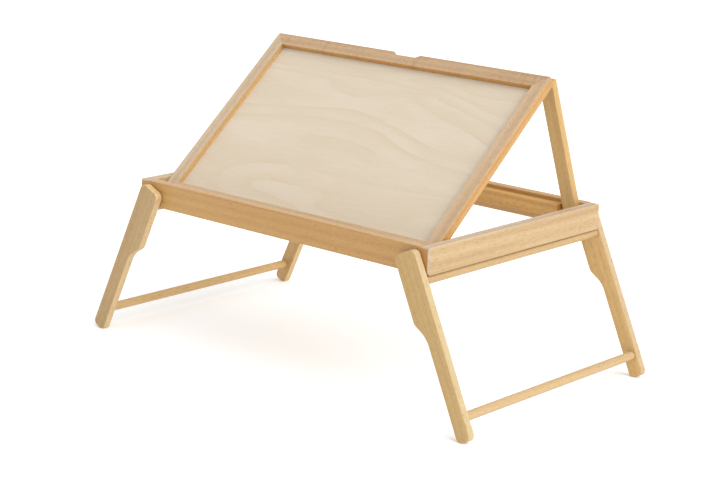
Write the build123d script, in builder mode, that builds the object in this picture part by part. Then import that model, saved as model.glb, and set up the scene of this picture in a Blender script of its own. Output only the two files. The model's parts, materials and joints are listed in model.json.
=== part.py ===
from build123d import *
import math
import os

os.makedirs("parts", exist_ok=True)

# Folding tray table: a rectangular frame on two folding leg sets, with a framed
# plywood board that tilts up on two prop struts. X runs along the long side,
# the user sits at -Y, Z is up and the feet stand at Z = 0. Millimetres.

# ---- frame -------------------------------------------------------------
FRAME_LENGTH = 600.0
FRAME_DEPTH = 420.0
FRAME_TOP = 266.0
RAIL_HEIGHT = 41.0
RAIL_THICKNESS = 17.0
CORNER_BEVEL = 3.0
LOWER_END_RADIUS = 5.0
UPPER_END_RADIUS = 4.0
EDGE_SOFTENING = 1.2
HALF_LENGTH = FRAME_LENGTH / 2
HALF_DEPTH = FRAME_DEPTH / 2
INNER_X = HALF_LENGTH - RAIL_THICKNESS
INNER_Y = HALF_DEPTH - RAIL_THICKNESS
FRAME_BOTTOM = FRAME_TOP - RAIL_HEIGHT
DOWEL_RADIUS = 4.0
DOWEL_CLEARANCE = 0.05
DOWEL_DEPTH_IN_END = 11.0
DOWEL_DEPTH_IN_RAIL = 14.0
DOWEL_HEIGHTS = (11.0, 29.0)

# ---- rear ledge the struts stand on -------------------------------------
LEDGE_DEPTH = 19.6
LEDGE_HEIGHT = 21.0
LEDGE_SINK = 6.0
SEAT_DEPTH = 7.5
SEAT_SLOPE = 57.0
NOTCH_IN = 244.0
CUT_PAST = 1.0
NOTCH_OUT = 277.2

# ---- legs ----------------------------------------------------------------
LEG_SPLAY = 24.5
LEG_THICKNESS = 13.0
LEG_GAP = 1.0
LEG_WIDE = 40.0
LEG_NARROW = 25.0
LEG_STEP_START = 103.0
LEG_STEP_END = 127.0
LEG_TOP_RADIUS = 10.0
LEG_FOOT_RADIUS = 9.0
LEG_STEP_CONVEX = 14.0
LEG_STEP_CONCAVE = 40.0
LEG_EDGE = 1.6
PIVOT_X = 265.0
PIVOT_ABOVE_FRAME_BOTTOM = 10.0
PIVOT_FROM_TOP = 20.0
PIVOT_FROM_EDGE = 27.0
PIVOT_Z = FRAME_BOTTOM + PIVOT_ABOVE_FRAME_BOTTOM
ROD_RADIUS = 7.0
ROD_FROM_EDGE = 10.0
UPPER_ROD_ALONG = 46.7
LOWER_ROD_ALONG = 248.0
ROD_SINK = 9.0
BOLT_RADIUS = 4.0
BOLT_HEAD_RADIUS = 7.0
BOLT_HEAD_HEIGHT = 3.0
BOLT_IN_LEG = 9.0
RUNNING_CLEARANCE = 0.06
WASHER_RADIUS = 8.0
WASHER_RELIEF = 0.15

# ---- tilting board ---------------------------------------------------------
BOARD_TILT = 40.5
BOARD_HALF_WIDTH = 281.5
BOARD_THICKNESS = 15.0
BOARD_SINK = 6.0
BORDER_WIDTH = 23.0
FRONT_BORDER_WIDTH = 30.5
BOARD_FRONT = -26.0
BOARD_REAR = 337.4
BOARD_GAP = 1.5
BOARD_CORNER = 4.0
BOARD_ARRIS = 1.0
PLY_RECESS = 8.4
PLY_THICKNESS = 4.0
PLY_TONGUE_THICKNESS = 3.6
PLY_IN_GROOVE = 5.0
PLY_EDGE_GAP = 0.3
PLY_SHOULDER_GAP = 0.3
GRIP_OUTER = 28.0
GRIP_INNER = 19.0
GRIP_DEPTH = 6.0
SPLINE_LEG = 20.0
SPLINE_THICKNESS = 2.2
SPLINE_LEVELS = (4.0, -0.4, -4.8)
HINGE_PIN_RADIUS = 3.0
HINGE_PIN_IN_RAIL = 11.0
HINGE_PIN_IN_BOARD = 12.0
HINGE_BORE_END_GAP = 1.0
BOARD_PIVOT_Y = -INNER_Y + BOARD_GAP - BOARD_FRONT
BOARD_TOP_N = BOARD_THICKNESS / 2
BOARD_PIVOT_Z = FRAME_TOP - BOARD_SINK - BOARD_TOP_N

# ---- prop struts -------------------------------------------------------------
STRUT_OUT = 274.0
STRUT_WIDTH = 25.0
STRUT_THICKNESS = 12.6
STRUT_AXIS_PAST_END = 6.0
BRACKET_THICKNESS = 2.0
BRACKET_SIDE_GAP = 0.3
BRACKET_LENGTH = 26.0
BRACKET_LUG_RADIUS = 5.0
STRUT_UNDER_BRACKET = 6.8
STRUT_PIN_RADIUS = 2.5
STRUT_SEAT_GAP = 0.3
STRUT_HEAD_RADIUS = 3.0
STRUT_EDGE = 1.0
STRUT_BORE_COVER = 3.0
STRUT_PIN_PAST_LUG = 1.0
SCREW_RADIUS = 1.75
SCREW_HEAD_RADIUS = 3.4
SCREW_HEAD_PROUD = 0.4
SCREW_LENGTH = 9.0
SCREW_INSETS = (6.5, 13.0)

# ---- blocks the closed board rests on --------------------------------------
REST_WIDTH = 5.6
REST_LENGTH = 44.0
REST_HEIGHT = 15.0
REST_Y = 95.0
REST_GAP = 0.5

tilt = math.radians(BOARD_TILT)
splay = math.radians(LEG_SPLAY)
board_plane = Plane(
    origin=(0, BOARD_PIVOT_Y, BOARD_PIVOT_Z),
    x_dir=(1, 0, 0),
    z_dir=(0, -math.sin(tilt), math.cos(tilt)),
)
PLY_TOP_N = BOARD_TOP_N - PLY_RECESS
PLY_BOTTOM_N = PLY_TOP_N - PLY_THICKNESS
BOARD_BOTTOM_N = BOARD_TOP_N - BOARD_THICKNESS
STRUT_AXIS_C = BOARD_REAR + STRUT_AXIS_PAST_END
STRUT_AXIS_N = BOARD_BOTTOM_N - BRACKET_THICKNESS - STRUT_UNDER_BRACKET
LEDGE_TOP = FRAME_TOP - LEDGE_SINK
LEDGE_FRONT = INNER_Y - LEDGE_DEPTH


def board_point(c, n):
    """Y and Z of a point c up the board from its pivot and n above its mid plane."""
    y = BOARD_PIVOT_Y + c * math.cos(tilt) - n * math.sin(tilt)
    z = BOARD_PIVOT_Z + c * math.sin(tilt) + n * math.cos(tilt)
    return y, z


def leg_point(side, along, across):
    """X and Z of a point on a leg, along from its top end and across from its outer edge."""
    p = along - PIVOT_FROM_TOP
    q = across - PIVOT_FROM_EDGE
    x = PIVOT_X + math.sin(splay) * p - math.cos(splay) * q
    z = PIVOT_Z - math.cos(splay) * p - math.sin(splay) * q
    return side * x, z


def save(part, name):
    part.label = name
    export_step(part, f"parts/{name}.step")


# The foot of each leg is rounded, and its lowest point meets the floor.
foot_across = LEG_NARROW - LEG_FOOT_RADIUS - PIVOT_FROM_EDGE
foot_centre = (PIVOT_Z - math.sin(splay) * foot_across - LEG_FOOT_RADIUS) / math.cos(splay)
LEG_LENGTH = foot_centre + LEG_FOOT_RADIUS + PIVOT_FROM_TOP

sides = (("left", -1), ("right", 1))
ends = (("front", -1), ("rear", 1))

# ---- long rails -----------------------------------------------------------------
for end_name, end in (("front", -1), ("back", 1)):
    middle_y = end * (HALF_DEPTH - RAIL_THICKNESS / 2)
    with BuildPart() as long_rail:
        with BuildSketch(Plane.XY.offset(FRAME_BOTTOM)):
            with Locations((0, middle_y)):
                Rectangle(2 * INNER_X, RAIL_THICKNESS)
        extrude(amount=RAIL_HEIGHT)
        fillet(long_rail.edges().filter_by(Axis.X), EDGE_SOFTENING)
        # Through holes and inside counterbores for the leg pivots.
        for side in (-1, 1):
            hole_plane = Plane(
                origin=(side * PIVOT_X, end * INNER_Y, PIVOT_Z),
                x_dir=(1, 0, 0),
                z_dir=(0, end, 0),
            )
            with BuildSketch(hole_plane):
                Circle(BOLT_RADIUS + DOWEL_CLEARANCE)
            extrude(amount=RAIL_THICKNESS, mode=Mode.SUBTRACT)
            with BuildSketch(hole_plane):
                Circle(BOLT_HEAD_RADIUS + DOWEL_CLEARANCE)
            extrude(amount=BOLT_HEAD_HEIGHT, mode=Mode.SUBTRACT)
            for height in DOWEL_HEIGHTS:
                with BuildSketch(Plane.YZ.offset(side * INNER_X)):
                    with Locations((middle_y, FRAME_BOTTOM + height)):
                        Circle(DOWEL_RADIUS + DOWEL_CLEARANCE)
                extrude(amount=-side * DOWEL_DEPTH_IN_RAIL, mode=Mode.SUBTRACT)
    save(long_rail.part, f"{end_name}_rail")

# ---- end rails -------------------------------------------------------------------
for side_name, side in sides:
    middle_x = side * (HALF_LENGTH - RAIL_THICKNESS / 2)
    with BuildPart() as end_rail:
        with BuildSketch(Plane.XZ.offset(-HALF_DEPTH)):
            with Locations((middle_x, FRAME_BOTTOM + RAIL_HEIGHT / 2)):
                RectangleRounded(RAIL_THICKNESS, RAIL_HEIGHT, EDGE_SOFTENING)
        extrude(amount=FRAME_DEPTH)
        with BuildSketch(Plane.XY.offset(FRAME_BOTTOM)) as plan:
            with Locations((middle_x, 0)):
                Rectangle(RAIL_THICKNESS, FRAME_DEPTH)
            chamfer(plan.vertices().group_by(Axis.X)[-1 if side > 0 else 0], CORNER_BEVEL)
        extrude(amount=RAIL_HEIGHT, mode=Mode.INTERSECT)
        with BuildSketch(Plane.YZ.offset(side * INNER_X)) as elevation:
            with Locations((0, FRAME_BOTTOM + RAIL_HEIGHT / 2)):
                Rectangle(FRAME_DEPTH, RAIL_HEIGHT)
            lower = elevation.vertices().group_by(Axis.Y)[0]
            fillet(lower, LOWER_END_RADIUS)
            upper = elevation.vertices().group_by(Axis.Y)[-1]
            fillet(upper, UPPER_END_RADIUS)
        extrude(amount=side * RAIL_THICKNESS, mode=Mode.INTERSECT)
        for end in (-1, 1):
            for height in DOWEL_HEIGHTS:
                with BuildSketch(Plane.YZ.offset(side * INNER_X)):
                    with Locations((end * (HALF_DEPTH - RAIL_THICKNESS / 2), FRAME_BOTTOM + height)):
                        Circle(DOWEL_RADIUS + DOWEL_CLEARANCE)
                extrude(amount=side * DOWEL_DEPTH_IN_END, mode=Mode.SUBTRACT)
        with BuildSketch(Plane.YZ.offset(side * INNER_X)):
            with Locations((BOARD_PIVOT_Y, BOARD_PIVOT_Z)):
                Circle(HINGE_PIN_RADIUS)
        extrude(amount=side * HINGE_PIN_IN_RAIL, mode=Mode.SUBTRACT)
    save(end_rail.part, f"{side_name}_end_rail")

# ---- corner dowels, leg pivots, washers --------------------------------------------
for side_name, side in sides:
    for end_name, end in ends:
        with BuildPart() as dowels:
            for height in DOWEL_HEIGHTS:
                with BuildSketch(Plane.YZ.offset(side * (INNER_X + DOWEL_DEPTH_IN_END))):
                    with Locations((end * (HALF_DEPTH - RAIL_THICKNESS / 2), FRAME_BOTTOM + height)):
                        Circle(DOWEL_RADIUS)
                extrude(amount=-side * (DOWEL_DEPTH_IN_END + DOWEL_DEPTH_IN_RAIL))
        save(dowels.part, f"corner_dowels_{side_name}_{end_name}")

        inner_face = Plane(
            origin=(side * PIVOT_X, end * INNER_Y, PIVOT_Z),
            x_dir=(1, 0, 0),
            z_dir=(0, end, 0),
        )
        with BuildPart() as pivot:
            with BuildSketch(inner_face):
                Circle(BOLT_RADIUS)
            extrude(amount=RAIL_THICKNESS + LEG_GAP + BOLT_IN_LEG)
            with BuildSketch(inner_face):
                Circle(BOLT_HEAD_RADIUS)
            extrude(amount=BOLT_HEAD_HEIGHT)
            with BuildSketch(inner_face):
                RegularPolygon(BOLT_HEAD_RADIUS / 3, 6)
            extrude(amount=BOLT_HEAD_HEIGHT / 2, mode=Mode.SUBTRACT)
        save(pivot.part, f"leg_pivot_{side_name}_{end_name}")

        with BuildPart() as washer:
            with BuildSketch(inner_face.offset(RAIL_THICKNESS)):
                Circle(WASHER_RADIUS)
                Circle(BOLT_RADIUS + DOWEL_CLEARANCE, mode=Mode.SUBTRACT)
            extrude(amount=LEG_GAP - WASHER_RELIEF)
        save(washer.part, f"leg_washer_{side_name}_{end_name}")

# ---- rear ledge with a notch and a sloped seat for each strut foot ------------------
with BuildPart() as ledge:
    with BuildSketch(Plane.XY.offset(LEDGE_TOP - LEDGE_HEIGHT)):
        with Locations((0, LEDGE_FRONT + LEDGE_DEPTH / 2)):
            Rectangle(2 * INNER_X, LEDGE_DEPTH)
    extrude(amount=LEDGE_HEIGHT)
    front_edges = ledge.edges().filter_by(Axis.X).group_by(Axis.Y)[0]
    fillet(front_edges, EDGE_SOFTENING)
    for side in (-1, 1):
        seat_drop = SEAT_DEPTH * math.tan(math.radians(SEAT_SLOPE))
        with BuildSketch(Plane.YZ.offset(side * NOTCH_IN)):
            with BuildLine():
                Polyline(
                    (LEDGE_FRONT - CUT_PAST, LEDGE_TOP - LEDGE_HEIGHT - CUT_PAST),
                    (INNER_Y - SEAT_DEPTH, LEDGE_TOP - LEDGE_HEIGHT - CUT_PAST),
                    (INNER_Y - SEAT_DEPTH, LEDGE_TOP - seat_drop),
                    (INNER_Y, LEDGE_TOP),
                    (INNER_Y, LEDGE_TOP + CUT_PAST),
                    (LEDGE_FRONT - CUT_PAST, LEDGE_TOP + CUT_PAST),
                    close=True,
                )
            make_face()
        extrude(amount=side * (NOTCH_OUT - NOTCH_IN), mode=Mode.SUBTRACT)
save(ledge.part, "rear_ledge")

# ---- rest blocks for the closed board ------------------------------------------------
for side_name, side in sides:
    closed_bottom = FRAME_TOP - BOARD_SINK - BOARD_THICKNESS
    with BuildPart() as rest:
        with BuildSketch(Plane.XY.offset(closed_bottom - REST_GAP - REST_HEIGHT)):
            with Locations((side * (INNER_X - REST_WIDTH / 2), REST_Y)):
                Rectangle(REST_WIDTH, REST_LENGTH)
        extrude(amount=REST_HEIGHT)
        inner_edges = rest.edges().filter_by(Axis.Y).group_by(Axis.X)[0 if side > 0 else -1]
        fillet(inner_edges, EDGE_SOFTENING)
    save(rest.part, f"board_rest_{side_name}")

# ---- board hinge pins -------------------------------------------------------------------
for side_name, side in sides:
    with BuildPart() as hinge_pin:
        with BuildSketch(Plane.YZ.offset(side * (INNER_X + HINGE_PIN_IN_RAIL))):
            with Locations((BOARD_PIVOT_Y, BOARD_PIVOT_Z)):
                Circle(HINGE_PIN_RADIUS - DOWEL_CLEARANCE)
        extrude(amount=-side * (HINGE_PIN_IN_RAIL + BOARD_GAP + HINGE_PIN_IN_BOARD))
    save(hinge_pin.part, f"board_hinge_pin_{side_name}")

# ---- board borders, mitred, with splined corners --------------------------------------------
x_out = BOARD_HALF_WIDTH
x_in = BOARD_HALF_WIDTH - BORDER_WIDTH
c_front = BOARD_FRONT + FRONT_BORDER_WIDTH
c_rear = BOARD_REAR - BORDER_WIDTH
board_length = BOARD_REAR - BOARD_FRONT
board_middle = (BOARD_REAR + BOARD_FRONT) / 2
ply_middle = (c_rear + c_front) / 2
border_outlines = {
    "board_front_border": ((-x_out, BOARD_FRONT), (x_out, BOARD_FRONT), (x_in, c_front), (-x_in, c_front)),
    "board_rear_border": ((-x_out, BOARD_REAR), (-x_in, c_rear), (x_in, c_rear), (x_out, BOARD_REAR)),
    "board_left_border": ((-x_out, BOARD_FRONT), (-x_in, c_front), (-x_in, c_rear), (-x_out, BOARD_REAR)),
    "board_right_border": ((x_out, BOARD_FRONT), (x_out, BOARD_REAR), (x_in, c_rear), (x_in, c_front)),
}


def corner_triangle(sx, sc):
    corner_c = BOARD_REAR if sc > 0 else BOARD_FRONT
    corner_x = sx * x_out
    return (
        (corner_x, corner_c),
        (corner_x - sx * SPLINE_LEG, corner_c),
        (corner_x, corner_c - sc * SPLINE_LEG),
    )


with BuildPart() as board_block:
    with BuildSketch(board_plane.offset(BOARD_BOTTOM_N)):
        with Locations((0, board_middle)):
            RectangleRounded(2 * x_out, board_length, BOARD_CORNER)
    extrude(amount=BOARD_THICKNESS)
    board_axis = Axis(board_plane.origin, board_plane.z_dir)
    rim_faces = board_block.faces().filter_by(board_axis).sort_by(board_axis)
    fillet(rim_faces[0].edges() + rim_faces[-1].edges(), BOARD_ARRIS)

for name, outline in border_outlines.items():
    with BuildPart() as border:
        with BuildSketch(board_plane.offset(BOARD_BOTTOM_N)):
            with BuildLine():
                Polyline(*outline, close=True)
            make_face()
        extrude(amount=BOARD_THICKNESS)
        add(board_block.part, mode=Mode.INTERSECT)
        # Groove for the plywood.
        with BuildSketch(board_plane.offset(PLY_BOTTOM_N)):
            with Locations((0, ply_middle)):
                Rectangle(2 * (x_in + PLY_IN_GROOVE), c_rear - c_front + 2 * PLY_IN_GROOVE)
        extrude(amount=PLY_TONGUE_THICKNESS, mode=Mode.SUBTRACT)
        # Slots for the corner splines.
        for sx in (-1, 1):
            for sc in (-1, 1):
                for level in SPLINE_LEVELS:
                    with BuildSketch(board_plane.offset(level - SPLINE_THICKNESS / 2)):
                        with BuildLine():
                            Polyline(*corner_triangle(sx, sc), close=True)
                        make_face()
                    extrude(amount=SPLINE_THICKNESS, mode=Mode.SUBTRACT)
        if name == "board_rear_border":
            with BuildSketch(board_plane.offset(BOARD_BOTTOM_N)):
                with BuildLine():
                    Polyline(
                        (-GRIP_OUTER, BOARD_REAR),
                        (-GRIP_INNER, BOARD_REAR - GRIP_DEPTH),
                        (GRIP_INNER, BOARD_REAR - GRIP_DEPTH),
                        (GRIP_OUTER, BOARD_REAR),
                        close=True,
                    )
                make_face()
            extrude(amount=BOARD_THICKNESS, mode=Mode.SUBTRACT)
            for sx in (-1, 1):
                for inset in SCREW_INSETS:
                    with BuildSketch(board_plane.offset(BOARD_BOTTOM_N)):
                        with Locations((sx * (STRUT_OUT - STRUT_WIDTH / 2), BOARD_REAR - inset)):
                            Circle(SCREW_RADIUS)
                    extrude(amount=SCREW_LENGTH - BRACKET_THICKNESS, mode=Mode.SUBTRACT)
        if name in ("board_left_border", "board_right_border"):
            sx = -1 if "left" in name else 1
            with BuildSketch(Plane.YZ.offset(sx * BOARD_HALF_WIDTH)):
                with Locations((BOARD_PIVOT_Y, BOARD_PIVOT_Z)):
                    Circle(HINGE_PIN_RADIUS)
            extrude(amount=-sx * (HINGE_PIN_IN_BOARD + HINGE_BORE_END_GAP), mode=Mode.SUBTRACT)
    save(border.part, name)

for side_name, sx in sides:
    for end_name, sc in ends:
        with BuildPart() as spline:
            for level in SPLINE_LEVELS:
                with BuildSketch(board_plane.offset(level - SPLINE_THICKNESS / 2)):
                    with BuildLine():
                        Polyline(*corner_triangle(sx, sc), close=True)
                    make_face()
                extrude(amount=SPLINE_THICKNESS)
            add(board_block.part, mode=Mode.INTERSECT)
        save(spline.part, f"board_splines_{side_name}_{end_name}")

with BuildPart() as ply:
    with BuildSketch(board_plane.offset(PLY_BOTTOM_N)):
        with Locations((0, ply_middle)):
            Rectangle(
                2 * (x_in + PLY_IN_GROOVE - PLY_EDGE_GAP),
                c_rear - c_front + 2 * (PLY_IN_GROOVE - PLY_EDGE_GAP),
            )
    extrude(amount=PLY_TONGUE_THICKNESS)
    # The face between the borders stands proud of the thinned edges.
    with BuildSketch(board_plane.offset(PLY_BOTTOM_N)):
        with Locations((0, ply_middle)):
            Rectangle(2 * (x_in - PLY_SHOULDER_GAP), c_rear - c_front - 2 * PLY_SHOULDER_GAP)
    extrude(amount=PLY_THICKNESS)
save(ply.part, "plywood_board")

# ---- strut brackets, screws and pins --------------------------------------------------------
strut_in = STRUT_OUT - STRUT_WIDTH
axis_y, axis_z = board_point(STRUT_AXIS_C, STRUT_AXIS_N)
strut_bore_end = STRUT_OUT - STRUT_BORE_COVER
lug_in = strut_in - BRACKET_SIDE_GAP - BRACKET_THICKNESS
plate_n = BOARD_BOTTOM_N - BRACKET_THICKNESS
for side_name, side in sides:
    with BuildPart() as bracket:
        with BuildSketch(board_plane.offset(plate_n)):
            with Locations((side * (lug_in + STRUT_OUT) / 2, BOARD_REAR - BRACKET_LENGTH / 2)):
                Rectangle(STRUT_OUT - lug_in, BRACKET_LENGTH)
        extrude(amount=BRACKET_THICKNESS)
        # One lug, on the strut's inner side.
        with BuildSketch(Plane.YZ.offset(side * lug_in)):
            with BuildLine():
                Polyline(
                    board_point(BOARD_REAR - BRACKET_LENGTH, plate_n + BRACKET_THICKNESS),
                    board_point(BOARD_REAR, plate_n + BRACKET_THICKNESS),
                    board_point(STRUT_AXIS_C + BRACKET_LUG_RADIUS, STRUT_AXIS_N),
                    board_point(STRUT_AXIS_C, STRUT_AXIS_N - BRACKET_LUG_RADIUS),
                    board_point(STRUT_AXIS_C - BRACKET_LUG_RADIUS, STRUT_AXIS_N - BRACKET_LUG_RADIUS),
                    close=True,
                )
            make_face()
            with Locations((axis_y, axis_z)):
                Circle(BRACKET_LUG_RADIUS)
                Circle(STRUT_PIN_RADIUS, mode=Mode.SUBTRACT)
        extrude(amount=side * BRACKET_THICKNESS)
        for inset in SCREW_INSETS:
            with BuildSketch(board_plane.offset(plate_n)):
                with Locations((side * (STRUT_OUT - STRUT_WIDTH / 2), BOARD_REAR - inset)):
                    Circle(SCREW_RADIUS)
            extrude(amount=BRACKET_THICKNESS, mode=Mode.SUBTRACT)
    save(bracket.part, f"strut_bracket_{side_name}")

    with BuildPart() as screws:
        for inset in SCREW_INSETS:
            with BuildSketch(board_plane.offset(plate_n)):
                with Locations((side * (STRUT_OUT - STRUT_WIDTH / 2), BOARD_REAR - inset)):
                    Circle(SCREW_RADIUS - DOWEL_CLEARANCE)
            extrude(amount=SCREW_LENGTH)
            with BuildSketch(board_plane.offset(plate_n)):
                with Locations((side * (STRUT_OUT - STRUT_WIDTH / 2), BOARD_REAR - inset)):
                    Circle(SCREW_HEAD_RADIUS)
            extrude(amount=-SCREW_HEAD_PROUD)
    save(screws.part, f"bracket_screws_{side_name}")

    with BuildPart() as strut_pin:
        with BuildSketch(Plane.YZ.offset(side * (lug_in - STRUT_PIN_PAST_LUG))):
            with Locations((axis_y, axis_z)):
                Circle(STRUT_PIN_RADIUS - DOWEL_CLEARANCE)
        extrude(amount=side * (strut_bore_end - DOWEL_CLEARANCE - lug_in + STRUT_PIN_PAST_LUG))
    save(strut_pin.part, f"strut_pin_{side_name}")

# ---- prop struts ----------------------------------------------------------------------------------
seat_gap_y = INNER_Y - STRUT_SEAT_GAP
toe_y = seat_gap_y
toe_z = LEDGE_TOP + STRUT_SEAT_GAP / math.cos(math.radians(SEAT_SLOPE)) - STRUT_SEAT_GAP
half_strut = STRUT_THICKNESS / 2
reach = math.hypot(toe_y - axis_y, toe_z - axis_z)
lean = math.atan2(toe_y - axis_y, axis_z - toe_z) - math.asin(half_strut / reach)
down = (math.sin(lean), -math.cos(lean))
rear = (math.cos(lean), math.sin(lean))


def strut_point(along, across):
    """Y and Z of a point down the strut from its hinge axis and behind its centre line."""
    y = axis_y + along * down[0] + across * rear[0]
    z = axis_z + along * down[1] + across * rear[1]
    return y, z


rear_length = math.sqrt(reach**2 - half_strut**2)
bevel = math.radians(90 - SEAT_SLOPE) + lean
toe_extra = STRUT_THICKNESS / math.tan(bevel)
for side_name, side in sides:
    with BuildPart() as strut:
        with BuildSketch(Plane.YZ.offset(side * strut_in)):
            with BuildLine():
                Polyline(
                    strut_point(-half_strut, -half_strut),
                    strut_point(-half_strut, half_strut),
                    strut_point(rear_length, half_strut),
                    strut_point(rear_length + toe_extra, -half_strut),
                    close=True,
                )
            head = make_face()
            fillet(head.vertices().sort_by(Axis.Y)[-2:], STRUT_HEAD_RADIUS)
        extrude(amount=side * STRUT_WIDTH)
        long_edges = [edge for edge in strut.edges() if edge.length > 2 * STRUT_WIDTH]
        fillet(long_edges, STRUT_EDGE)
        with BuildSketch(Plane.YZ.offset(side * strut_in)):
            with Locations((axis_y, axis_z)):
                Circle(STRUT_PIN_RADIUS)
        extrude(amount=side * (strut_bore_end - strut_in), mode=Mode.SUBTRACT)
    save(strut.part, f"prop_strut_{side_name}")

# ---- legs and their rods -------------------------------------------------------------------------------
leg_face_y = HALF_DEPTH + LEG_GAP
leg_corners = (
    (0, 0, LEG_TOP_RADIUS),
    (0, LEG_WIDE, LEG_TOP_RADIUS),
    (LEG_STEP_START, LEG_WIDE, LEG_STEP_CONVEX),
    (LEG_STEP_END, LEG_NARROW, LEG_STEP_CONCAVE),
    (LEG_LENGTH, LEG_NARROW, LEG_FOOT_RADIUS),
    (LEG_LENGTH, 0, LEG_FOOT_RADIUS),
)
for side_name, side in sides:
    rod_points = {
        "upper": leg_point(side, UPPER_ROD_ALONG, ROD_FROM_EDGE),
        "lower": leg_point(side, LOWER_ROD_ALONG, ROD_FROM_EDGE),
    }
    for end_name, end in ends:
        # Local X runs down the leg and local Y runs in from its outer edge.
        top_x, top_z = leg_point(side, 0, 0)
        leg_plane = Plane(
            origin=(top_x, end * leg_face_y, top_z),
            x_dir=(side * math.sin(splay), 0, -math.cos(splay)),
            z_dir=(0, side, 0),
        )
        outward = side * end
        with BuildPart() as leg:
            with BuildSketch(leg_plane) as outline:
                with BuildLine():
                    Polyline(
                        (0, 0),
                        (LEG_LENGTH, 0),
                        (LEG_LENGTH, LEG_NARROW),
                        (LEG_STEP_END, LEG_NARROW),
                        (LEG_STEP_START, LEG_WIDE),
                        (0, LEG_WIDE),
                        close=True,
                    )
                make_face()
                for along, across, radius in leg_corners:
                    corner = outline.vertices().sort_by_distance((along, across, 0))[0]
                    fillet(corner, radius)
            extrude(amount=outward * LEG_THICKNESS)
            rims = leg.faces().filter_by(Axis.Y).edges()
            fillet(rims, LEG_EDGE)
            pivot_plane = Plane(
                origin=(side * PIVOT_X, end * leg_face_y, PIVOT_Z),
                x_dir=(1, 0, 0),
                z_dir=(0, end, 0),
            )
            with BuildSketch(pivot_plane):
                Circle(BOLT_RADIUS + RUNNING_CLEARANCE)
            extrude(amount=BOLT_IN_LEG + 1, mode=Mode.SUBTRACT)
            for rod_x, rod_z in rod_points.values():
                rod_plane = Plane(
                    origin=(rod_x, end * leg_face_y, rod_z),
                    x_dir=(1, 0, 0),
                    z_dir=(0, end, 0),
                )
                with BuildSketch(rod_plane):
                    Circle(ROD_RADIUS + DOWEL_CLEARANCE)
                extrude(amount=ROD_SINK, mode=Mode.SUBTRACT)
        save(leg.part, f"leg_{side_name}_{end_name}")
    for level, (rod_x, rod_z) in rod_points.items():
        with BuildPart() as rod:
            with BuildSketch(Plane.XZ.offset(-(leg_face_y + ROD_SINK))):
                with Locations((rod_x, rod_z)):
                    Circle(ROD_RADIUS)
            extrude(amount=2 * (leg_face_y + ROD_SINK))
        save(rod.part, f"{level}_rod_{side_name}")
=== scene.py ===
import json
import math
import random

import bpy
from mathutils import Matrix, Vector


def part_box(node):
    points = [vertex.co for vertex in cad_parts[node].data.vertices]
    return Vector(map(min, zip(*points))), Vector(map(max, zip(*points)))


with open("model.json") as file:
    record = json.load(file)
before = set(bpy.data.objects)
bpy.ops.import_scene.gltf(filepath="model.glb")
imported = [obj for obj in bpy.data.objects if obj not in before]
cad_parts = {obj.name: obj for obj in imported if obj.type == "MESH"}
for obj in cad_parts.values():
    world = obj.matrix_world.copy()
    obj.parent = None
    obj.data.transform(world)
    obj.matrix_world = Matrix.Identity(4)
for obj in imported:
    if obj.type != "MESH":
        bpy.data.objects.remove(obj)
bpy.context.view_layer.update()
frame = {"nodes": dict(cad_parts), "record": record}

# Folding tray table in clear-oiled beech with a birch plywood board. Every piece is a CAD
# node: this script gives each one its material and sets up the studio. Metres.

# ---- geometry read from the frame ------------------------------------------------
JOINTS = {joint["name"]: joint for joint in frame["record"]["behaviour"]["joints"]}
PLY_NORMAL = Vector(frame["record"]["mounts"][0]["axis"])
BOARD_UP = Vector((1, 0, 0)).cross(-PLY_NORMAL).normalized()
if BOARD_UP.z < 0:
    BOARD_UP.negate()
# The middle of a strut's bevelled foot, in from the back of its box and up from the bottom.
STRUT_FOOT_IN = 0.009
STRUT_FOOT_UP = 0.006


def strut_direction(side):
    """Unit vector down a prop strut, from its hinge to its foot."""
    pivot = Vector(JOINTS[side + "_prop_fold"]["pos_m"])
    low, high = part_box("prop_strut_" + side)
    foot = Vector((pivot.x, high[1] - STRUT_FOOT_IN, low[2] + STRUT_FOOT_UP))
    return (foot - pivot).normalized()


def leg_direction(side):
    """Unit vector down a leg, through its two rods."""
    upper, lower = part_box("upper_rod_" + side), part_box("lower_rod_" + side)
    top = (Vector(upper[0]) + Vector(upper[1])) / 2
    foot = (Vector(lower[0]) + Vector(lower[1])) / 2
    return (foot - top).normalized()


# ---- colours ----------------------------------------------------------------------
def srgb(r, g, b):
    """Linear colour, with alpha, of 8-bit sRGB values."""
    def channel(v):
        v /= 255
        return v / 12.92 if v <= 0.04045 else ((v + 0.055) / 1.055) ** 2.4
    return (channel(r), channel(g), channel(b), 1.0)


BEECH_LIGHT = srgb(194, 169, 124)
BEECH_MID = srgb(185, 155, 109)
BEECH_DARK = srgb(168, 135, 89)
BEECH_LINE = srgb(140, 103, 60)
BEECH_END = srgb(184, 134, 74)
PLY_LIGHT = srgb(208, 196, 179)
PLY_MID = srgb(203, 190, 171)
PLY_DARK = srgb(193, 177, 151)
PLY_LINE = srgb(188, 168, 132)
PLY_PORE = srgb(168, 143, 110)
STEEL = srgb(178, 178, 174)


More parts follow.
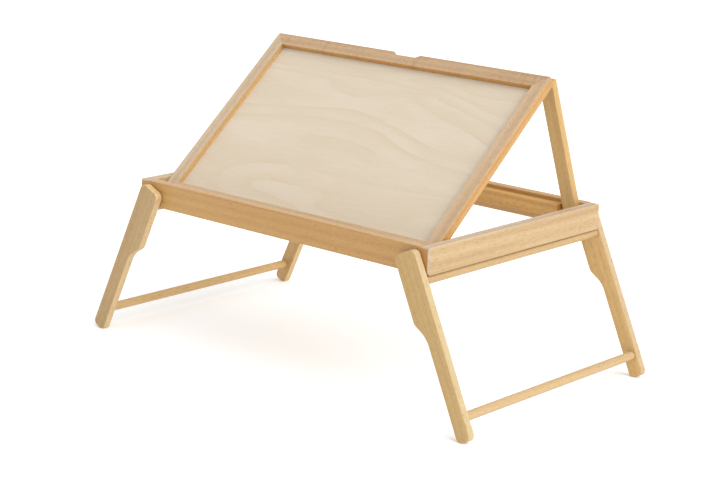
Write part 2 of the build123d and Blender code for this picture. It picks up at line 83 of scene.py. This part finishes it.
# ---- node helpers --------------------------------------------------------------------
class Tree:
    """A material's node tree, with short calls for its common nodes."""

    def __init__(self, name):
        self.material = bpy.data.materials.new(name)
        self.material.use_nodes = True
        self.nodes = self.material.node_tree.nodes
        self.links = self.material.node_tree.links
        self.nodes.clear()
        self.output = self.nodes.new("ShaderNodeOutputMaterial")
        self.shader = self.nodes.new("ShaderNodeBsdfPrincipled")
        self.links.new(self.shader.outputs[0], self.output.inputs[0])

    def put(self, socket, value):
        """Link value to socket if it is a socket itself, or else set it there."""
        if isinstance(value, bpy.types.NodeSocket):
            self.links.new(value, socket)
        else:
            socket.default_value = value

    def mapping(self, vector, scale=(1, 1, 1), rotation=(0, 0, 0), location=(0, 0, 0)):
        node = self.nodes.new("ShaderNodeMapping")
        node.inputs["Scale"].default_value = scale
        node.inputs["Rotation"].default_value = rotation
        node.inputs["Location"].default_value = location
        self.put(node.inputs["Vector"], vector)
        return node.outputs[0]

    def noise(self, vector, scale, detail=3.0, roughness=0.5, distortion=0.0):
        node = self.nodes.new("ShaderNodeTexNoise")
        self.put(node.inputs["Vector"], vector)
        node.inputs["Scale"].default_value = scale
        node.inputs["Detail"].default_value = detail
        node.inputs["Roughness"].default_value = roughness
        node.inputs["Distortion"].default_value = distortion
        return node.outputs[0]

    def rings(self, vector, scale, distortion, detail_scale):
        """Growth rings round the X axis."""
        node = self.nodes.new("ShaderNodeTexWave")
        node.wave_type = "RINGS"
        node.rings_direction = "X"
        node.wave_profile = "SIN"
        self.put(node.inputs["Vector"], vector)
        node.inputs["Scale"].default_value = scale
        node.inputs["Distortion"].default_value = distortion
        node.inputs["Detail"].default_value = 2.0
        node.inputs["Detail Scale"].default_value = detail_scale
        return node.outputs["Fac"]

    def math(self, kind, a, b=0.0):
        node = self.nodes.new("ShaderNodeMath")
        node.operation = kind
        self.put(node.inputs[0], a)
        self.put(node.inputs[1], b)
        return node.outputs[0]

    def spread(self, value, low, high, to_low=0.0, to_high=1.0):
        """value from low to high, clamped and stretched to the range to_low to to_high."""
        node = self.nodes.new("ShaderNodeMapRange")
        node.clamp = True
        self.put(node.inputs["Value"], value)
        node.inputs["From Min"].default_value = low
        node.inputs["From Max"].default_value = high
        node.inputs["To Min"].default_value = to_low
        node.inputs["To Max"].default_value = to_high
        return node.outputs[0]

    def ramp(self, value, stops):
        node = self.nodes.new("ShaderNodeValToRGB")
        node.color_ramp.interpolation = "B_SPLINE"
        while len(node.color_ramp.elements) < len(stops):
            node.color_ramp.elements.new(0.5)
        for element, (position, colour) in zip(node.color_ramp.elements, stops):
            element.position = position
            element.color = colour
        self.put(node.inputs[0], value)
        return node.outputs[0]

    def mix(self, factor, a, b, blend="MIX"):
        node = self.nodes.new("ShaderNodeMix")
        node.data_type = "RGBA"
        node.blend_type = blend
        self.put(node.inputs["Factor"], factor)
        self.put(node.inputs["A"], a)
        self.put(node.inputs["B"], b)
        return node.outputs["Result"]

    def facing(self, normal, direction):
        """How squarely a face points along direction or against it, from 0 to 1."""
        node = self.nodes.new("ShaderNodeVectorMath")
        node.operation = "DOT_PRODUCT"
        self.put(node.inputs[0], normal)
        node.inputs[1].default_value = Vector(direction).normalized()
        return self.math("ABSOLUTE", node.outputs["Value"])

    def bump(self, height, strength, distance):
        node = self.nodes.new("ShaderNodeBump")
        node.inputs["Strength"].default_value = strength
        node.inputs["Distance"].default_value = distance
        self.put(node.inputs["Height"], height)
        return node.outputs[0]


def grain_frame(grain, face):
    """Euler angles that turn the grain direction to X and the wide face's normal to Z."""
    x = Vector(grain).normalized()
    z = Vector(face)
    z = (z - x * z.dot(x)).normalized()
    y = z.cross(x)
    return Matrix((x, y, z)).to_euler("XYZ")


TONE_HALF_RANGE = 0.18
SATIN_ROUGHNESS = (0.40, 0.54)


def beech(
    name, grain, face, seed, tint, edge=None, figure=1.0, mottle=1.0, ripple=0.0, end_dark=0.45
):
    """Solid beech sawn along grain, with its wide face square to face. seed picks the board and
    tint, one factor per channel, its cast. The argument after tint is a second such factor for the
    narrow faces, and is painted light and shade: lighter and cooler as a painted highlight on the
    lit sides and tops of rails and legs, darker and more orange as painted shade on the recess
    walls of the board's borders. figure is the strength of growth rings and streaks, mottle of
    short flecks, ripple of rays across the grain and end_dark of dark end grain."""
    draw = random.Random(seed)
    light, middle, dark, vein, end_colour = (
        tuple(value * factor for value, factor in zip(colour, tint + (1.0,)))
        for colour in (BEECH_LIGHT, BEECH_MID, BEECH_DARK, BEECH_LINE, BEECH_END)
    )
    tree = Tree(name)
    coords = tree.nodes.new("ShaderNodeTexCoord")
    turned = tree.mapping(
        coords.outputs["Object"],
        rotation=grain_frame(grain, face),
        location=(draw.uniform(-2, 2), draw.uniform(-0.02, 0.02), draw.uniform(0.05, 0.12)),
    )
    leaned = tree.mapping(
        turned,
        scale=(0.05, 1, 1),
        rotation=(draw.uniform(-0.5, 0.5), draw.uniform(-0.02, 0.02), draw.uniform(-0.04, 0.04)),
    )
    growth = tree.rings(leaned, draw.uniform(24.0, 34.0), 7.0, 0.35)
    boards = tree.noise(tree.mapping(turned, scale=(0.06, 1, 1)), 30.0, 3.0, 0.55, 0.3)
    streaks = tree.noise(tree.mapping(turned, scale=(0.03, 1, 1)), 300.0, 5.0, 0.62, 0.3)
    specks = tree.noise(tree.mapping(turned, scale=(0.30, 1, 1)), 420.0, 3.0, 0.7)
    fibres = tree.noise(tree.mapping(turned, scale=(0.025, 1, 1)), 1300.0, 3.0, 0.65)
    flecks = tree.noise(tree.mapping(turned, scale=(0.20, 1, 0.6)), 760.0, 1.0, 0.4)

    parts = ((growth, 0.12 * figure), (boards, 0.46 * figure), (streaks, 0.28 * figure),
             (specks, 0.34 * mottle))
    tone = tree.math("MULTIPLY", parts[0][0], parts[0][1])
    for value, weight in parts[1:]:
        tone = tree.math("ADD", tone, tree.math("MULTIPLY", value, weight))
    mean_tone = 0.5 * sum(weight for value, weight in parts)
    colour = tree.ramp(
        tree.spread(tone, mean_tone - TONE_HALF_RANGE, mean_tone + TONE_HALF_RANGE),
        [(0.0, dark), (0.5, middle), (1.0, light)],
    )
    colour = tree.mix(tree.spread(fibres, 0.55, 0.80, 0.0, 0.30), colour, vein)
    colour = tree.mix(tree.spread(flecks, 0.60, 0.72, 0.0, 0.42 * mottle), colour, vein)
    if ripple:
        rays = tree.noise(tree.mapping(turned, scale=(1, 0.07, 0.3)), 330.0, 2.0, 0.6)
        patches = tree.noise(turned, 14.0, 1.0, 0.5)
        where = tree.math("MULTIPLY", tree.spread(rays, 0.5, 0.7), tree.spread(patches, 0.42, 0.6))
        colour = tree.mix(tree.math("MULTIPLY", where, ripple), colour, vein)

    # Painted light and shade: the narrow faces are recoloured by the second factor, standing in for how
    # the key light falls on them.
    if edge:
        wide = tree.facing(coords.outputs["Normal"], face)
        shaded_narrow = tree.mix(1.0, colour, edge + (1.0,), "MULTIPLY")
        colour = tree.mix(tree.spread(wide, 0.72, 0.95), shaded_narrow, colour)
    # End grain drinks more oil and is darker.
    end_grain = tree.spread(tree.facing(coords.outputs["Normal"], grain), 0.75, 0.97)
    colour = tree.mix(tree.math("MULTIPLY", end_grain, end_dark), colour, end_colour)
    tree.put(tree.shader.inputs["Base Color"], colour)
    tree.put(tree.shader.inputs["Roughness"], tree.spread(streaks, 0.3, 0.7, *SATIN_ROUGHNESS))
    relief = tree.math("ADD", tree.math("MULTIPLY", fibres, 0.6), tree.math("MULTIPLY", flecks, 0.4))
    tree.put(tree.shader.inputs["Normal"], tree.bump(relief, 0.18, 0.0003))
    tree.shader.inputs["Specular IOR Level"].default_value = 0.5
    return tree.material


PLY_CONTOURS = 13.0


def birch_ply(name):
    """Rotary-cut birch face: pale, with a faint broad flame running along the board."""
    tree = Tree(name)
    coords = tree.nodes.new("ShaderNodeTexCoord")
    turned = tree.mapping(
        coords.outputs["Object"],
        rotation=grain_frame((1, 0, 0), PLY_NORMAL),
        location=(0.31, 0.12, 0.0),
    )
    stretched = tree.mapping(turned, scale=(0.30, 1, 1))
    warp = tree.noise(tree.mapping(turned, scale=(0.22, 1, 1)), 6.0, 2.0, 0.45, 0.5)
    flame = tree.noise(stretched, 16.0, 4.0, 0.6, 0.8)
    # Height lines of a slow noise stand for the growth rings that the knife cut through.
    contour = tree.math("FRACT", tree.math("MULTIPLY", warp, PLY_CONTOURS))
    contour = tree.math("MULTIPLY", tree.spread(contour, 0.35, 1.0), tree.spread(flame, 0.35, 0.7))
    fibres = tree.noise(tree.mapping(turned, scale=(0.03, 1, 1)), 900.0, 4.0, 0.65)
    pores = tree.noise(tree.mapping(turned, scale=(0.14, 1, 1)), 1400.0, 1.0, 0.4)
    tone = tree.math("ADD", tree.math("MULTIPLY", flame, 0.45), tree.math("MULTIPLY", fibres, 0.55))
    colour = tree.ramp(
        tree.spread(tone, 0.25, 0.75),
        [(0.0, PLY_DARK), (0.5, PLY_MID), (1.0, PLY_LIGHT)],
    )
    colour = tree.mix(tree.math("MULTIPLY", contour, 0.46), colour, PLY_LINE)
    colour = tree.mix(tree.spread(pores, 0.62, 0.72, 0.0, 0.22), colour, PLY_PORE)
    tree.put(tree.shader.inputs["Base Color"], colour)
    tree.put(tree.shader.inputs["Roughness"], tree.spread(flame, 0.3, 0.7, 0.50, 0.62))
    tree.put(tree.shader.inputs["Normal"], tree.bump(fibres, 0.12, 0.0002))
    tree.shader.inputs["Specular IOR Level"].default_value = 0.3
    return tree.material


def zinc_steel(name, axis):
    """Zinc-plated steel with fine turning or brushing lines."""
    tree = Tree(name)
    coords = tree.nodes.new("ShaderNodeTexCoord")
    turned = tree.mapping(coords.outputs["Object"], rotation=grain_frame(axis, (0.3, 0.5, 0.8)))
    lines = tree.noise(tree.mapping(turned, scale=(0.05, 1, 1)), 2600.0, 3.0, 0.6)
    cloud = tree.noise(turned, 240.0, 3.0, 0.6)
    colour = tree.mix(tree.spread(cloud, 0.35, 0.7), STEEL, srgb(150, 151, 150))
    tree.put(tree.shader.inputs["Base Color"], colour)
    tree.shader.inputs["Metallic"].default_value = 1.0
    tree.put(tree.shader.inputs["Roughness"], tree.spread(lines, 0.3, 0.7, 0.28, 0.45))
    tree.put(tree.shader.inputs["Normal"], tree.bump(lines, 0.1, 0.0001))
    return tree.material


# ---- a material for each CAD node ------------------------------------------------------
def paint(node, material):
    for slot in frame["nodes"][node].material_slots:
        slot.material = material


UP = (0, 0, 1)
# Each beech node's grain direction and the normal of its wide face.
GRAINS = {
    "front_rail": ((1, 0, 0), (0, 1, 0)),
    "back_rail": ((1, 0, 0), (0, 1, 0)),
    "left_end_rail": ((0, 1, 0), (1, 0, 0)),
    "right_end_rail": ((0, 1, 0), (1, 0, 0)),
    "rear_ledge": ((1, 0, 0), UP),
    "board_rest_left": ((0, 1, 0), (1, 0, 0)),
    "board_rest_right": ((0, 1, 0), (1, 0, 0)),
    "board_front_border": ((1, 0, 0), PLY_NORMAL),
    "board_rear_border": ((1, 0, 0), PLY_NORMAL),
    "board_left_border": (BOARD_UP, PLY_NORMAL),
    "board_right_border": (BOARD_UP, PLY_NORMAL),
}
for side in ("left", "right"):
    GRAINS["prop_strut_" + side] = (strut_direction(side), (0, 1, 0))
    for level in ("upper", "lower"):
        GRAINS[level + "_rod_" + side] = ((0, 1, 0), (1, 0, 0))
    for end in ("front", "rear"):
        GRAINS["leg_" + side + "_" + end] = (leg_direction(side), (0, 1, 0))
        GRAINS["corner_dowels_" + side + "_" + end] = ((1, 0, 0), UP)
        corner = Vector((1 if side == "right" else -1, 0, 0))
        corner += BOARD_UP * (-1 if end == "rear" else 1)
        GRAINS["board_splines_" + side + "_" + end] = (corner, PLY_NORMAL)

# What sets each beech node apart, in the words of beech().
LOOKS = {
    # The second factor is painted light and shade on narrow faces: a lighter, cooler painted highlight
    # on the front rail's top, and darker orange painted shade on the board borders' recess walls.
    "front_rail": {"tint": (0.94, 0.76, 0.50), "edge": (1.10, 1.28, 2.1)},
    "back_rail": {"tint": (1.02, 0.90, 0.74)},
    "rear_ledge": {"tint": (1.10, 0.91, 0.56)},
    "board_rear_border": {"tint": (0.95, 0.92, 1.10), "edge": (1.14, 0.90, 0.46), "ripple": 0.5},
    "board_left_border": {"tint": (1.02, 1.12, 1.55), "edge": (1.00, 0.82, 0.50)},
    "board_front_border": {"tint": (1.10, 1.20, 1.55), "edge": (1.02, 0.80, 0.40)},
    "board_right_border": {"tint": (1.06, 1.09, 1.42), "edge": (0.90, 0.70, 0.35)},
}
# The tint of each leg, and the second factor: painted light and highlight on its side faces, cooler and
# mostly lighter where the key light falls.
LEG_CASTS_AND_SHADING = {
    ("left", "front"): ((0.87, 0.84, 0.78), (1.38, 1.48, 1.72)),
    ("left", "rear"): ((1.06, 1.01, 0.88), (1.18, 1.24, 1.40)),
    ("right", "front"): ((1.00, 0.96, 0.77), (1.01, 1.16, 1.62)),
    ("right", "rear"): ((1.18, 1.11, 0.88), (0.79, 0.88, 1.28)),
}
for side in ("left", "right"):
    # End rails: the second factor is a painted highlight, with lighter and cooler tops and sides.
    LOOKS[side + "_end_rail"] = {"tint": (0.92, 0.92, 0.96), "edge": (1.08, 1.20, 1.65), "end_dark": 1.0}
    LOOKS["prop_strut_" + side] = {"tint": (1.03, 0.96, 0.73), "figure": 0.6}
    rod_cast = (1.22, 1.18, 1.06) if side == "left" else (1.03, 1.06, 1.13)
    LOOKS["lower_rod_" + side] = {"tint": rod_cast, "figure": 0.6}
    for end in ("front", "rear"):
        LOOKS["board_splines_" + side + "_" + end] = {"tint": (0.80, 0.70, 0.55)}
        cast, edge = LEG_CASTS_AND_SHADING[side, end]
        LOOKS["leg_" + side + "_" + end] = {
            "tint": cast, "edge": edge, "figure": 0.5, "mottle": 1.0, "end_dark": 0.2,
        }
FIRST_SEED = 40
for seed, (node, (grain, face)) in enumerate(sorted(GRAINS.items()), FIRST_SEED):
    look = {"tint": (1.0, 1.0, 1.0), **LOOKS.get(node, {})}
    paint(node, beech("beech_" + node, grain, face, seed, **look))
paint("plywood_board", birch_ply("birch_plywood"))
STEEL_AXES = {
    "leg_pivot": (0, 1, 0),
    "leg_washer": (0, 1, 0),
    "board_hinge_pin": (1, 0, 0),
    "strut_bracket": (1, 0, 0),
    "bracket_screws": (1, 0, 0),
    "strut_pin": (1, 0, 0),
}
for node in frame["nodes"]:
    for kind, axis in STEEL_AXES.items():
        if node.startswith(kind):
            paint(node, zinc_steel("zinc_" + node, axis))


# ---- floor, light and camera --------------------------------------------------------------
FLOOR_HALF = 40.0
PAPER_GREY = (0.90, 0.90, 0.90, 1.0)
PAPER_WHITE = (0.92, 0.92, 0.92, 1.0)
PAPER_GLOW = 0.16
AMBIENT = 0.78
WHITE = (1.0, 1.0, 1.0, 1.0)


def floor():
    mesh = bpy.data.meshes.new("studio_floor")
    far = FLOOR_HALF
    corners = [(-far, -far, 0), (far, -far, 0), (far, far, 0), (-far, far, 0)]
    mesh.from_pydata(corners, [], [(0, 1, 2, 3)])
    plane = bpy.data.objects.new("studio_floor", mesh)
    bpy.context.scene.collection.objects.link(plane)
    tree = Tree("studio_paper")
    coords = tree.nodes.new("ShaderNodeTexCoord")
    cloud = tree.noise(coords.outputs["Object"], 3.0, 2.0, 0.5)
    tree.put(tree.shader.inputs["Base Color"], tree.mix(cloud, PAPER_GREY, PAPER_WHITE))
    tree.shader.inputs["Roughness"].default_value = 0.9
    tree.shader.inputs["Specular IOR Level"].default_value = 0.0
    tree.shader.inputs["Emission Color"].default_value = WHITE
    tree.shader.inputs["Emission Strength"].default_value = PAPER_GLOW
    mesh.materials.append(tree.material)


def soft_sun(name, azimuth, elevation, strength, spread, colour):
    """Light from far away, from a patch of sky spread degrees wide."""
    a, e = math.radians(azimuth), math.radians(elevation)
    toward = Vector((math.sin(a) * math.cos(e), -math.cos(a) * math.cos(e), math.sin(e)))
    data = bpy.data.lights.new(name, "SUN")
    data.energy = strength
    data.angle = math.radians(spread)
    data.color = colour
    light = bpy.data.objects.new(name, data)
    light.rotation_euler = toward.to_track_quat("Z", "Y").to_euler()
    light.location = toward * 3.0
    bpy.context.scene.collection.objects.link(light)


floor()
world = bpy.data.worlds.new("studio")
world.use_nodes = True
world.node_tree.nodes["Background"].inputs["Color"].default_value = WHITE
world.node_tree.nodes["Background"].inputs["Strength"].default_value = AMBIENT
bpy.context.scene.world = world
soft_sun("key", azimuth=92.0, elevation=44.0, strength=2.8, spread=60.0, colour=(1.0, 0.99, 0.98))

AZIMUTH = math.radians(40.96)
ELEVATION = math.radians(14.18)
ROLL = math.radians(1.84)
DISTANCE = 3.1256
TARGET = Vector((-0.01107, -0.00191, 0.18398))
back = Vector((
    math.sin(AZIMUTH) * math.cos(ELEVATION),
    -math.cos(AZIMUTH) * math.cos(ELEVATION),
    math.sin(ELEVATION),
))
across = Vector((0, 0, 1)).cross(back).normalized()
above = back.cross(across)
right = across * math.cos(ROLL) + above * math.sin(ROLL)
upward = above * math.cos(ROLL) - across * math.sin(ROLL)
camera_data = bpy.data.cameras.new("camera")
camera_data.sensor_width = 36.0
camera_data.lens = 97.9
camera_data.clip_end = 200.0
camera = bpy.data.objects.new("camera", camera_data)
turn = Matrix((right, upward, back)).transposed()
camera.matrix_world = Matrix.Translation(TARGET + back * DISTANCE) @ turn.to_4x4()
bpy.context.scene.collection.objects.link(camera)
bpy.context.scene.camera = camera
bpy.context.scene.view_settings.view_transform = "Standard"
